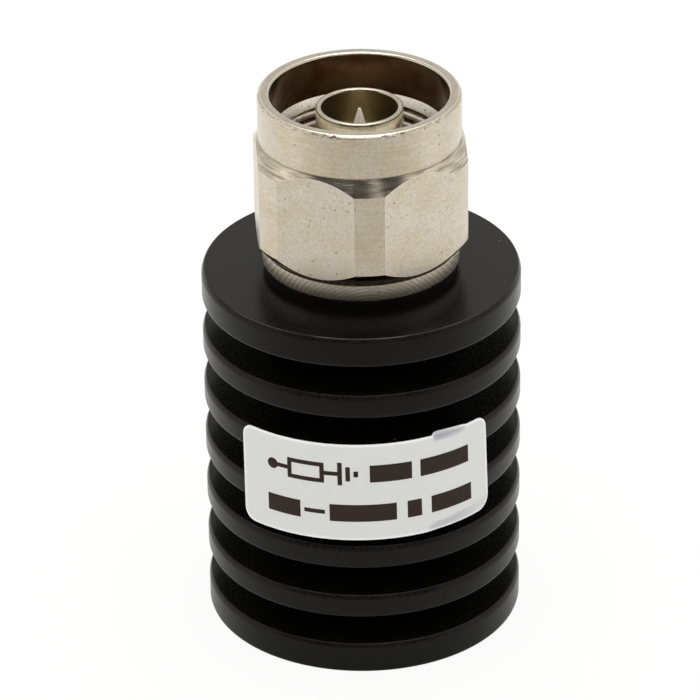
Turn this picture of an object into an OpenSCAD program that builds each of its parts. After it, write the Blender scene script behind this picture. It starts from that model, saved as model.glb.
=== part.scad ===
// Coaxial dummy load: a plug with a coupling nut on a finned heat sink.
// Millimetres, +Z up along the axis, origin at the middle of the base.

/* [Heat sink] */
// Diameter of the discs
fin_d = 30; // [26:0.1:40]
// Number of discs, with the top and bottom ones
fin_count = 7; // [5:1:10]
// Thickness of each inner disc
fin_t = 2.325; // [1.5:0.025:4]
// Thickness of the bottom disc
base_t = 3.025; // [2:0.025:5]
// Thickness of the top disc
top_t = 2.9; // [2:0.025:5]
// Width of each groove between two discs
groove_w = 3.05; // [2:0.025:5]
// Diameter of the core at the bottom of the grooves
core_d = 18; // [16:0.1:22]
// Radius in the corners at the bottom of the grooves
groove_round = 0.4; // [0.1:0.05:0.8]
// Width of the steep chamfer on the upper edge of each disc
chamfer_w = 0.2; // [0.1:0.05:0.6]
// Height of that chamfer
chamfer_h = 0.5; // [0.2:0.05:0.8]
// Broken edge on the lower side of each disc
fin_edge = 0.1; // [0.05:0.01:0.3]
// Height of the raised seat under the connector
seat_h = 0.9; // [0.3:0.05:2]
// Step from the flange ring in to the raised seat
seat_step = 0.3; // [0.1:0.05:1]
// Metal left below the bore
bore_floor = 8.5; // [3:0.5:12]

/* [Connector body] */
// Diameter of the flange ring
flange_d = 18.45; // [18:0.05:24]
// Thickness of the flange ring
flange_t = 1.55; // [1:0.05:4]
// Broken edge on the flange ring
flange_edge = 0.15; // [0.05:0.05:0.4]
// Diameter of the screwed spigot in the heat sink
spigot_d = 13; // [11.5:0.1:14]
// Length of the screwed spigot
spigot_l = 6.5; // [4:0.1:10]
// Chamfer at the end of the spigot
spigot_chamfer = 0.4; // [0.1:0.05:0.8]
// Diameter of the barrel that the nut turns on
barrel_d = 14; // [13:0.1:14.4]
// Length of the barrel above the flange ring
barrel_l = 4.8; // [4:0.1:6]
// Chamfer at the front of the barrel
barrel_chamfer = 0.2; // [0.05:0.05:0.4]
// Diameter of the outer contact's hub, which centres the gasket
hub_d = 9.8; // [9:0.1:11]
// Outside diameter of the outer contact
contact_d = 8.1; // [7.8:0.01:8.6]
// Bore of the coaxial line
line_d = 7; // [6:0.01:7.4]
// Depth of the outer contact's rim below the mouth of the nut
rim_depth = 1.45; // [0.5:0.05:3]
// Rounding of the outer contact's rim
rim_round = 0.2; // [0.05:0.05:0.25]

/* [Coupling nut] */
// Size across the flats
nut_af = 19.35; // [18:0.05:24]
// Diameter over the turned corners
nut_corner_d = 20.9; // [19.5:0.1:27]
// Length of the nut
nut_l = 14.85; // [13:0.05:20]
// Gap between the flange ring and the nut
nut_gap = 0.55; // [0.2:0.05:1.5]
// Turn of the nut at rest, seen from above, in degrees
nut_turn = 4.5; // [0:0.5:60]
// Diameter of the plain collar
collar_d = 18.9; // [18:0.1:19.4]
// Length of the plain collar
collar_l = 4.3; // [2:0.1:6]
// Height of the cone from the corners in to the collar
shoulder_h = 1.45; // [0.5:0.05:3]
// Step from the corners in to the foot under the hexagon
foot_step = 0.8; // [0.2:0.05:1.2]
// Height of the cone from the corners in to the foot
foot_h = 1.1; // [0.3:0.05:2]
// Inside diameter of the mouth
mouth_d = 16.6; // [16:0.1:17.6]
// Depth of the mouth down to the thread's lead-in cone
mouth_depth = 3.9; // [2:0.1:5]
// Depth of the shallow recess at the front of the mouth
recess_depth = 1.25; // [0.8:0.05:1.4]
// Step from the recess in to the rest of the mouth
recess_step = 0.2; // [0.05:0.05:0.25]
// Width of the bevel round the outside of the mouth
bevel_w = 0.45; // [0.1:0.05:0.5]
// Height of that bevel
bevel_h = 0.15; // [0.05:0.05:0.4]
// Broken edge on the inside of the mouth
mouth_edge = 0.15; // [0.05:0.05:0.2]
// Height of the cone that leads into the thread
lead_h = 0.75; // [0.3:0.05:1.5]
// Minor diameter of the coupling thread
thread_d = 14.9; // [14.6:0.05:15.4]
// Diameter of the relief behind the thread
relief_d = 16; // [15.6:0.1:17]
// Step from the front of the barrel back to the end of the nut's rear bore
bore_setback = 0.4; // [0.1:0.05:0.8]

/* [Retaining ring] */
// Height of the ring
ring_h = 0.9; // [0.5:0.05:1.2]
// Radial width of the ring
ring_w = 1.1; // [0.8:0.05:1.4]
// Depth of the ring in the barrel
ring_bite = 0.55; // [0.3:0.05:0.7]
// Height of the ring above the flange ring
ring_rise = 2.1; // [1.2:0.05:2.4]
// Angle of the split
ring_split = 24; // [10:1:60]

/* [Gasket] */
// Outside diameter of the gasket
gasket_d = 14; // [12:0.1:14.4]
// Thickness of the gasket
gasket_t = 1.2; // [0.8:0.05:2]

/* [Centre contact] */
// Diameter of the pin
pin_d = 1.65; // [1.4:0.01:2]
// Depth of the pin's tip below the outer contact's rim
tip_depth = 0.25; // [0:0.05:1]
// Length of the tapered tip
tip_l = 2.2; // [1:0.1:3]
// Diameter of the flat at the tip
tip_d = 0.4; // [0.2:0.05:0.8]
// Depth of the pin's shoulder below the outer contact's rim
shoulder_depth = 5.3; // [4:0.05:6]
// Diameter of the centre conductor
conductor_d = 3.04; // [2.6:0.01:3.6]
// Diameter of the conductor's neck in the bead
neck_d = 2.1; // [1.8:0.01:2.5]
// Diameter of the conductor's tail in the rear contact
tail_d = 1.6; // [1.2:0.05:1.7]
// Length of the conductor's tail
tail_l = 3; // [2:0.1:4]

/* [Bead] */
// Diameter of the barrel's bore, which holds the outer contact, the bead and the bush
bead_d = 8.6; // [8:0.05:8.9]
// Thickness of the bead
bead_t = 3; // [2:0.1:4]
// Step from the front of the barrel back to the bead
bead_setback = 1.1; // [0.5:0.1:2]

/* [Resistor] */
// Diameter of the ceramic rod
rod_d = 3; // [2:0.05:3.6]
// Wall of the end caps
cap_wall = 0.25; // [0.15:0.05:0.4]
// Length of each end cap
cap_l = 3.5; // [2:0.1:4]
// Thickness of each cap's closed end
cap_end = 0.3; // [0.2:0.05:0.6]
// Outside diameter of the socket that grips the front cap
socket_d = 4.8; // [4.4:0.05:5.6]
// Width of the slots in the socket
slot_w = 0.4; // [0.2:0.05:0.8]
// Number of slots across the socket
slot_count = 2; // [1:1:3]
// Metal above the front cap in the socket
socket_end = 0.8; // [0.4:0.1:1.2]
// Outside diameter of the taper sleeve
sleeve_d = 10; // [9:0.1:11]
// Thickness of the taper sleeve's closed end
sleeve_floor = 1.5; // [0.8:0.1:3]

/* [Label] */
// Length of the label round the discs
label_w = 25.8; // [10:0.1:36]
// Height of the label
label_h = 10.2; // [6:0.1:14]
// Radius of the label's corners
label_corner = 1.2; // [0.2:0.1:3]
// Thickness of the label
label_t = 0.12; // [0.06:0.01:0.4]
// Number of the disc, from the bottom, that the label's upper part lies on
label_disc = 5; // [2:1:5]
// Shift of the label's middle from the groove that it bridges
label_shift = -0.9; // [-1.5:0.05:1.5]
// Turn of the label round the axis, in degrees
label_turn = 1.6; // [-180:0.1:180]
// Tilt of the label, in degrees
label_tilt = 0.8; // [-3:0.1:3]

/* [Fits] */
// Radial gap of pressed and glued pieces
press_gap = 0.02; // [0.01:0.01:0.05]
// Radial gap between the barrel and the nut
run_gap = 0.05; // [0.02:0.01:0.1]
// Gap round the retaining ring in the nut
ring_play = 0.12; // [0.05:0.01:0.3]
// Radial gap of the screwed spigot
screw_gap = 0.05; // [0.02:0.01:0.1]
// Gap between the socket and the taper sleeve
socket_gap = 0.2; // [0.1:0.05:0.5]

/* [Hidden] */
$fn = 96;
round_steps = 4;
taper_steps = 12;
hex_sides = 6;

nickel = "#c9c2b4";
black_anodised = "#1d1d1f";
gold = "#c9a24e";

// Radii
fin_r = fin_d / 2;
core_r = core_d / 2;
flange_r = flange_d / 2;
seat_r = flange_r - seat_step;
spigot_r = spigot_d / 2;
barrel_r = barrel_d / 2;
hub_r = hub_d / 2;
contact_r = contact_d / 2;
line_r = line_d / 2;
bead_r = bead_d / 2;
sleeve_r = sleeve_d / 2;
corner_r = nut_corner_d / 2;
collar_r = collar_d / 2;
mouth_r = mouth_d / 2;
thread_r = thread_d / 2;
relief_r = relief_d / 2;
rear_bore_r = barrel_r + run_gap;
ring_in_r = barrel_r - ring_bite;
ring_out_r = ring_in_r + ring_w;
cap_r = rod_d / 2 + press_gap + cap_wall;
grip_r = cap_r + press_gap;

// Levels, from the base up
fins_h = base_t + top_t + (fin_count - 2) * fin_t + (fin_count - 1) * groove_w;
seat_z = fins_h + seat_h;
flange_z = seat_z + flange_t;
spigot_z = seat_z - spigot_l;
barrel_z = flange_z + barrel_l;
hub_z = barrel_z + gasket_t;
ring_z = flange_z + ring_rise;
nut_z = flange_z + nut_gap;
mouth_z = nut_z + nut_l;
rim_z = mouth_z - rim_depth;
tip_z = rim_z - tip_depth;
shoulder_z = rim_z - shoulder_depth;
bead_top_z = barrel_z - bead_setback;
bead_z = bead_top_z - bead_t;
grip_z = bore_floor + sleeve_floor;
taper_z = grip_z + cap_l;
front_cap_top_z = spigot_z + cap_l;

function fin_h(i) = i == 0 ? base_t : i == fin_count - 1 ? top_t : fin_t;
function fin_z(i) = i == 0 ? 0 : base_t + i * groove_w + (i - 1) * fin_t;

// Points of an arc about c, from angle a to angle b
function arc(c, r, a, b) = [
    for (k = [0:round_steps])
        let (t = a + (b - a) * k / round_steps) c + r * [cos(t), sin(t)]
];

// Outline of one disc's edge, from its lower side to its upper side
function disc_edge(i) = let (z0 = fin_z(i), z1 = z0 + fin_h(i)) [
    [fin_r - fin_edge, z0],
    [fin_r, z0 + fin_edge],
    [fin_r, z1 - chamfer_h],
    [fin_r - chamfer_w, z1]
];

// Outline of the groove above disc i, round at the bottom
function groove(i) = let (
    z0 = fin_z(i) + fin_h(i),
    z1 = z0 + groove_w,
    r = core_r + groove_round
) concat(
    arc([r, z0 + groove_round], groove_round, 270, 180),
    arc([r, z1 - groove_round], groove_round, 180, 90)
);

// Discs on a core, turned from one bar, with a stepped bore from the top
module heat_sink() {
    screw_r = spigot_r + screw_gap;
    bore_r = sleeve_r + press_gap;
    color(black_anodised)
        rotate_extrude()
            polygon(concat(
                [[0, 0]],
                [for (i = [0:fin_count - 1]) each concat(disc_edge(i), i < fin_count - 1 ? groove(i) : [])],
                [
                    [seat_r, fins_h],
                    [seat_r, seat_z],
                    [screw_r, seat_z],
                    [screw_r, spigot_z],
                    [bore_r, spigot_z],
                    [bore_r, bore_floor],
                    [0, bore_floor]
                ]
            ));
}

// Screwed spigot, flange ring and barrel in one turned piece
module connector_body() {
    groove_r = ring_in_r - press_gap;
    color(nickel)
        rotate_extrude()
            polygon([
                [bead_r, spigot_z],
                [spigot_r - spigot_chamfer, spigot_z],
                [spigot_r, spigot_z + spigot_chamfer],
                [spigot_r, seat_z],
                [flange_r - flange_edge, seat_z],
                [flange_r, seat_z + flange_edge],
                [flange_r, flange_z - flange_edge],
                [flange_r - flange_edge, flange_z],
                [barrel_r, flange_z],
                [barrel_r, ring_z - press_gap],
                [groove_r, ring_z - press_gap],
                [groove_r, ring_z + ring_h + press_gap],
                [barrel_r, ring_z + ring_h + press_gap],
                [barrel_r, barrel_z - barrel_chamfer],
                [barrel_r - barrel_chamfer, barrel_z],
                [bead_r, barrel_z]
            ]);
}

// Sleeve of the outer contact, pressed into the barrel down to the bead
module outer_contact() {
    press_r = bead_r - press_gap;
    rim_fillet = min(rim_round, 0.4 * (contact_r - line_r));
    color(nickel)
        rotate_extrude()
            polygon(concat(
                [
                    [line_r, bead_top_z],
                    [press_r, bead_top_z],
                    [press_r, barrel_z],
                    [hub_r, barrel_z],
                    [hub_r, hub_z],
                    [contact_r, hub_z]
                ],
                arc([contact_r - rim_fillet, rim_z - rim_fillet], rim_fillet, 0, 90),
                arc([line_r + rim_fillet, rim_z - rim_fillet], rim_fillet, 90, 180)
            ));
}

// Turned blank of the nut, with the thread bored to its minor diameter
module nut_blank() {
    collar_z = mouth_z - collar_l;
    thread_z = mouth_z - mouth_depth - lead_h;
    relief_z = hub_z;
    rear_z = barrel_z - bore_setback;
    groove_r = ring_out_r + ring_play;
    groove_z0 = ring_z - ring_play;
    groove_z1 = ring_z + ring_h + ring_play;
    rotate_extrude()
        polygon([
            [rear_bore_r, nut_z],
            [corner_r - foot_step, nut_z],
            [corner_r, nut_z + foot_h],
            [corner_r, collar_z - shoulder_h],
            [collar_r, collar_z],
            [collar_r, mouth_z - bevel_h],
            [collar_r - bevel_w, mouth_z],
            [mouth_r + mouth_edge, mouth_z],
            [mouth_r, mouth_z - mouth_edge],
            [mouth_r, mouth_z - recess_depth],
            [mouth_r - recess_step, mouth_z - recess_depth],
            [mouth_r - recess_step, thread_z + lead_h],
            [thread_r, thread_z],
            [thread_r, relief_z],
            [relief_r, relief_z],
            [relief_r, rear_z],
            [rear_bore_r, rear_z],
            [rear_bore_r, groove_z1],
            [groove_r, groove_z1],
            [groove_r, groove_z0],
            [rear_bore_r, groove_z0]
        ]);
}

// Hexagon nut with turned corners, which spins on the barrel
module coupling_nut() {
    hex_r = nut_af / 2 / cos(180 / hex_sides);
    corner_turn = nut_turn + 180 / hex_sides;
    color(nickel)
        intersection() {
            nut_blank();
            translate([0, 0, nut_z])
                rotate([0, 0, corner_turn])
                    cylinder(r = hex_r, h = nut_l, $fn = hex_sides);
        }
}

// Split ring in the barrel's groove, with its split at the back
module retaining_ring() {
    color("#8d8f92")
        rotate([0, 0, 90 + ring_split / 2])
            rotate_extrude(angle = 360 - ring_split)
                translate([ring_in_r, ring_z])
                    square([ring_w, ring_h]);
}

// Flat seal ring on the front of the barrel
module gasket() {
    gasket_in_r = hub_r + press_gap;
    color("#b3261c")
        rotate_extrude()
            translate([gasket_in_r, barrel_z])
                square([gasket_d / 2 - gasket_in_r, gasket_t]);
}

// Pin, conductor, neck through the bead and tail in one turned piece
module center_pin() {
    color(gold)
        rotate_extrude()
            polygon([
                [0, bead_z - tail_l],
                [tail_d / 2, bead_z - tail_l],
                [tail_d / 2, bead_z],
                [neck_d / 2, bead_z],
                [neck_d / 2, bead_top_z],
                [conductor_d / 2, bead_top_z],
                [conductor_d / 2, shoulder_z],
                [pin_d / 2, shoulder_z],
                [pin_d / 2, tip_z - tip_l],
                [tip_d / 2, tip_z],
                [0, tip_z]
            ]);
}

// A plain round tube from z0 to z1
module tube(r_in, r_out, z0, z1) {
    rotate_extrude()
        translate([r_in, z0])
            square([r_out - r_in, z1 - z0]);
}

// Insulator that carries the centre conductor
module dielectric_bead() {
    color("#f2f1ea")
        tube(neck_d / 2 + press_gap, bead_r - press_gap, bead_z, bead_top_z);
}

// Pressed bush that holds the bead and continues the line's bore
module retainer_bush() {
    color(nickel)
        tube(line_r, bead_r - press_gap, spigot_z, bead_z);
}

// Socket on the conductor's tail, slotted to grip the front cap
module rear_contact() {
    socket_z = spigot_z + socket_gap;
    socket_top_z = front_cap_top_z + socket_end;
    socket_r = socket_d / 2;
    hole_r = tail_d / 2 + press_gap;
    hole_z = bead_z - tail_l - press_gap;
    slot_l = front_cap_top_z - socket_z - cap_end;
    color(gold)
        difference() {
            rotate_extrude()
                polygon([
                    [grip_r, socket_z],
                    [socket_r, socket_z],
                    [socket_r, socket_top_z],
                    [conductor_d / 2, socket_top_z],
                    [conductor_d / 2, bead_z],
                    [hole_r, bead_z],
                    [hole_r, hole_z],
                    [0, hole_z],
                    [0, front_cap_top_z],
                    [grip_r, front_cap_top_z]
                ]);
            for (i = [0:slot_count - 1])
                rotate([0, 0, i * 180 / slot_count])
                    translate([-socket_d, -slot_w / 2, socket_z - slot_l])
                        cube([2 * socket_d, slot_w, 2 * slot_l]);
        }
}

// Ceramic rod that carries the resistive film
module resistor_rod() {
    color("#3b3431")
        translate([0, 0, grip_z + cap_end])
            cylinder(d = rod_d, h = front_cap_top_z - grip_z - 2 * cap_end);
}

// A cap on one end of the rod, closed at its lower end
module end_cap() {
    color("#b9b4a8")
        rotate_extrude()
            polygon([
                [0, 0],
                [cap_r, 0],
                [cap_r, cap_l],
                [cap_r - cap_wall, cap_l],
                [cap_r - cap_wall, cap_end],
                [0, cap_end]
            ]);
}

// Cap in the socket of the centre contact
module front_cap() {
    translate([0, 0, front_cap_top_z])
        mirror([0, 0, 1])
            end_cap();
}

// Cap in the closed end of the taper sleeve
module rear_cap() {
    translate([0, 0, grip_z])
        end_cap();
}

// Sleeve whose bore narrows exponentially along the rod, so the line's
// impedance falls evenly from full at the plug to nothing at the rear cap
module taper_sleeve() {
    taper = [
        for (k = [0:taper_steps])
            let (t = k / taper_steps)
                [grip_r * pow(line_r / grip_r, t), taper_z + (spigot_z - taper_z) * t]
    ];
    color("#b08d4a")
        rotate_extrude()
            polygon(concat(
                [
                    [0, bore_floor],
                    [sleeve_r, bore_floor],
                    [sleeve_r, spigot_z]
                ],
                [for (k = [taper_steps:-1:0]) taper[k]],
                [
                    [grip_r, grip_z],
                    [0, grip_z]
                ]
            ));
}

// Outline of the label laid flat, with round corners
function label_outline() = let (
    x = label_w / 2 - label_corner,
    y = label_h / 2 - label_corner
) concat(
    arc([x, y], label_corner, 0, 90),
    arc([-x, y], label_corner, 90, 180),
    arc([-x, -y], label_corner, 180, 270),
    arc([x, -y], label_corner, 270, 360)
);

// Sticker bent round two discs, cut by its outline as seen from the front
module label() {
    in_r = fin_r + press_gap;
    out_r = in_r + label_t;
    mid_z = fin_z(label_disc - 1) - groove_w / 2 + label_shift;
    turned = [
        for (p = label_outline())
            [p.x * cos(label_tilt) - p.y * sin(label_tilt), p.x * sin(label_tilt) + p.y * cos(label_tilt)]
    ];
    color("#e4e3df")
        rotate([0, 0, label_turn])
            intersection() {
                tube(in_r, out_r, mid_z - label_h, mid_z + label_h);
                translate([0, 0, mid_z])
                    rotate([90, 0, 0])
                        linear_extrude(fin_d)
                            polygon([for (p = turned) [out_r * sin(p.x / out_r * 180 / PI), p.y]]);
            }
}

heat_sink();
connector_body();
outer_contact();
coupling_nut();
retaining_ring();
gasket();
center_pin();
dielectric_bead();
retainer_bush();
rear_contact();
resistor_rod();
front_cap();
rear_cap();
taper_sleeve();
label();
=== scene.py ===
"""Looks of a coaxial dummy load: a nickel-plated plug on a black finned heat sink, with a label."""

from math import atan2, cos, degrees, exp, pi, radians, sin, tau

import bmesh
import bpy
from mathutils import Matrix, Vector, noise


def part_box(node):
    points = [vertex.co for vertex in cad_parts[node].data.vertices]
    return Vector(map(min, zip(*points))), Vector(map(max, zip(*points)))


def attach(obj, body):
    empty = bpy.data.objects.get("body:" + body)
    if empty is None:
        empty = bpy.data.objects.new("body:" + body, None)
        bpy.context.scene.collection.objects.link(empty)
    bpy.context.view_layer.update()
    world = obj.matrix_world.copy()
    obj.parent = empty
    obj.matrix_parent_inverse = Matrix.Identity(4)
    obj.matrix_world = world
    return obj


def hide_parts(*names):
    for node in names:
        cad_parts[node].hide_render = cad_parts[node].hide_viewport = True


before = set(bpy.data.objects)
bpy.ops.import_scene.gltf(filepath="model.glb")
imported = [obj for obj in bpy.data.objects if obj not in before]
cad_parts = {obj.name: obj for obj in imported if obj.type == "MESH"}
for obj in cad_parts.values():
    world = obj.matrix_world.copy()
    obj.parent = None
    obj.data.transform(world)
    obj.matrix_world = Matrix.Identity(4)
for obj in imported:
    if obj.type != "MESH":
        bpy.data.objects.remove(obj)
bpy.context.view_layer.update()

MM = 0.001


def low(name):
    """Lowest corner of a solid's box, in millimetres."""
    return Vector(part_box(name)[0]) / MM


def high(name):
    """Highest corner of a solid's box, in millimetres."""
    return Vector(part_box(name)[1]) / MM


# Clearance between pieces that are pressed together, in millimetres as all sizes here
FIT_GAP = 0.02

# Heat sink
FIN_R = high("heat_sink").x
SEAT_Z = high("heat_sink").z
FIN_COUNT = 7
FIN_T = 2.325
BASE_T = 3.025
TOP_T = 2.9
GROOVE_W = 3.05
CORE_R = 9.0
GROOVE_ROUND = 0.4
CHAMFER_W = 0.2
CHAMFER_H = 0.5
FIN_EDGE_W = 0.1
FIN_EDGE_H = 0.3
FINS_H = BASE_T + TOP_T + (FIN_COUNT - 2) * FIN_T + (FIN_COUNT - 1) * GROOVE_W
BORE_FLOOR = low("taper_sleeve").z
BORE_R = high("taper_sleeve").x + FIT_GAP

# Connector body and outer contact
FLANGE_R = high("connector_body").x
SPIGOT_Z = low("connector_body").z
BARREL_Z = high("connector_body").z
FLANGE_Z = SEAT_Z + 1.55
SEAT_R = FLANGE_R - 0.3
SPIGOT_R = 6.5
SPIGOT_CHAMFER = 0.4
SCREW_R = SPIGOT_R + 0.05
BARREL_R = 7.0
BARREL_BORE_R = 4.3
CONTACT_Z = low("outer_contact").z
RIM_Z = high("outer_contact").z
HUB_R = high("outer_contact").x
HUB_Z = high("gasket").z
CONTACT_R = 4.05
LINE_R = 3.5
RIM_ROUND = 0.2

# Coupling nut
NUT_Z = low("coupling_nut").z
MOUTH_Z = high("coupling_nut").z
FLAT_R = 9.675
CORNER_R = 10.45
COLLAR_R = 9.45
COLLAR_Z = MOUTH_Z - 4.3
SHOULDER_H = 1.45
# Width of the small step at the foot of the collar, over which the painted corner shade fades
CORNER_SHADE_W = 0.12
FOOT_R = CORNER_R - 0.8
FOOT_H = 1.1
BEVEL_W = 0.26
BEVEL_H = 0.25
MOUTH_EDGE = 0.15
KNOCK_H = 0.22
MOUTH_R = 8.3
PLAIN_R = 8.1
CONE_Z = MOUTH_Z - 3.9
THREAD_Z = CONE_Z - 0.75
THREAD_R = 7.45
ROOT_R = 7.95
LIP_H = 0.3
THREAD_PITCH = 25.4 / 24
RELIEF_R = 8.0
REAR_BORE_R = BARREL_R + 0.05
REAR_BORE_Z = BARREL_Z - 0.4
RING_Z = low("retaining_ring").z
RING_H = high("retaining_ring").z - RING_Z
RING_GROOVE_R = high("retaining_ring").x + 0.12
RING_IN_R = 6.43
RING_PLAY = 0.12
NUT_TURN = 4.5
HEX_SIDES = 6

# Centre pin and gasket
PIN_Z = low("center_pin").z
TIP_Z = high("center_pin").z
PIN_R = 0.825
TIP_R = 0.12
TIP_L = 2.47
PIN_ROUND = 0.07
SHOULDER_Z = RIM_Z - 5.3
CONDUCTOR_R = high("center_pin").x
NECK_R = 1.05
TAIL_R = 0.8
BEAD_Z = low("dielectric_bead").z
GASKET_R = high("gasket").x
GASKET_ROUND = 0.15

# Label, laid flat: u runs along the discs and v up
LABEL_R = FIN_R + 0.14
LABEL_T = 0.12
LABEL_W = 25.8
LABEL_H = 10.2
LABEL_CORNER = 1.2
LABEL_GRID = 0.26
CUT_EDGE = 0.3
LABEL_Z = (low("label").z + high("label").z) / 2
LABEL_TURN = radians(1.6)
LABEL_TILT = radians(0.8)
TOP_RIGHT_SLANT = 0.35
TOP_FOLD = 4.4
TOP_BEND = -0.9
CORNER_FOLD = -4.25
CORNER_BEND = -0.12
FOLD_REACH = 0.2
PRINT_RISE = 0.012
PRINT_T = 0.02

# Rounded edges, how worn they are and their painted light: 1 is rubbed bright with a painted highlight, 0
# is plain, and less is painted shade
TURNED_STEPS = 256
EDGE_ROUND = 0.06
DISC_ROUND = 0.1
# How strongly the lower discs' upper edges are rubbed and painted with a highlight
INNER_DISC_RUB_AND_SHEEN = 0.3
# Mark in the collar's inner corner, below 0: painted shade
CORNER_SHADE = -0.45
FLAT_BORDER = 0.05
# Strength of the painted highlight along each flat's border, standing for a bevel
FLAT_BORDER_HIGHLIGHT = 0.5

# Places in the nut's and the sleeve's lists of finishes, after the one of their turned outside
FLAT, SHADED, LIT_THREAD, SMOOTH, FACED, DEEP_SHADED = range(1, 7)
SLEEVE_BORE, SLEEVE_RIM = 1, 2

# Grain and turning marks of the plating. The real ones are finer, and wouldn't show.
GRAIN = 0.25

# Values between which most of a noise texture lies
NOISE_LOW, NOISE_HIGH = 0.3, 0.7


def clamp(value):
    """A value held between 0 and 1."""
    return min(1.0, max(0.0, value))


def colour(code):
    """Linear colour of an sRGB hex value."""
    parts = [int(code[k : k + 2], 16) / 255 for k in (1, 3, 5)]
    return [c / 12.92 if c <= 0.04045 else ((c + 0.055) / 1.055) ** 2.4 for c in parts] + [1.0]


def node(tree, kind, links=None, **settings):
    """Adds a node with its settings. A link is a value, a socket, or a node for its first output."""
    made = tree.nodes.new(kind)
    for name, value in settings.items():
        setattr(made, name, value)
    for name, value in (links or {}).items():
        if isinstance(value, bpy.types.Node):
            value = value.outputs[0]
        if isinstance(value, bpy.types.NodeSocket):
            tree.links.new(value, made.inputs[name])
        else:
            made.inputs[name].default_value = value
    return made


# Sockets of a Mix node that mixes colours
MIX_A, MIX_B, MIX_OUT = 6, 7, 2


def bare_material(name):
    """A material with an empty node tree."""
    made = bpy.data.materials.new(name)
    made.use_nodes = True
    made.node_tree.nodes.clear()
    return made, made.node_tree


def millimetres(tree):
    """Object coordinates in millimetres, so that a pattern's scale is one over its real size."""
    place = node(tree, "ShaderNodeTexCoord").outputs["Object"]
    return node(tree, "ShaderNodeMapping", {"Vector": place, "Scale": (1 / MM,) * 3})


def round_axis(tree, place, along):
    """Coordinates (radius, height, a little of the way round) that keep turning marks level."""
    split = node(tree, "ShaderNodeSeparateXYZ", {0: place})
    flat = node(tree, "ShaderNodeCombineXYZ", {0: split.outputs[0], 1: split.outputs[1]})
    radius = node(tree, "ShaderNodeVectorMath", {0: flat}, operation="LENGTH").outputs["Value"]
    angle = node(tree, "ShaderNodeMath", {0: split.outputs[1], 1: split.outputs[0]}, operation="ARCTAN2")
    arc = node(tree, "ShaderNodeMath", {0: angle, 1: along}, operation="MULTIPLY")
    return node(tree, "ShaderNodeCombineXYZ", {0: radius, 1: split.outputs[2], 2: arc})


def specks(tree, place, spacing, size, share):
    """Round dots from a fifth of a size up to it, in a share of the cells of a spacing.
    A dot is 1 in its middle and 0 outside."""
    cells = node(tree, "ShaderNodeTexVoronoi", {"Vector": place, "Scale": 1 / spacing})
    chance = node(tree, "ShaderNodeSeparateXYZ", {0: cells.outputs["Color"]})
    reach = node(
        tree,
        "ShaderNodeMapRange",
        {0: chance.outputs[1], 1: 0.0, 2: 1.0, 3: 0.2 * size / spacing, 4: size / spacing},
    )
    away = cells.outputs["Distance"]
    dots = node(tree, "ShaderNodeMapRange", {0: away, 1: reach, 2: 0.0, 3: 0.0, 4: 1.0})
    kept = node(tree, "ShaderNodeMath", {0: chance.outputs[0], 1: share}, operation="LESS_THAN")
    return node(tree, "ShaderNodeMath", {0: dots, 1: kept}, operation="MULTIPLY")


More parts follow.
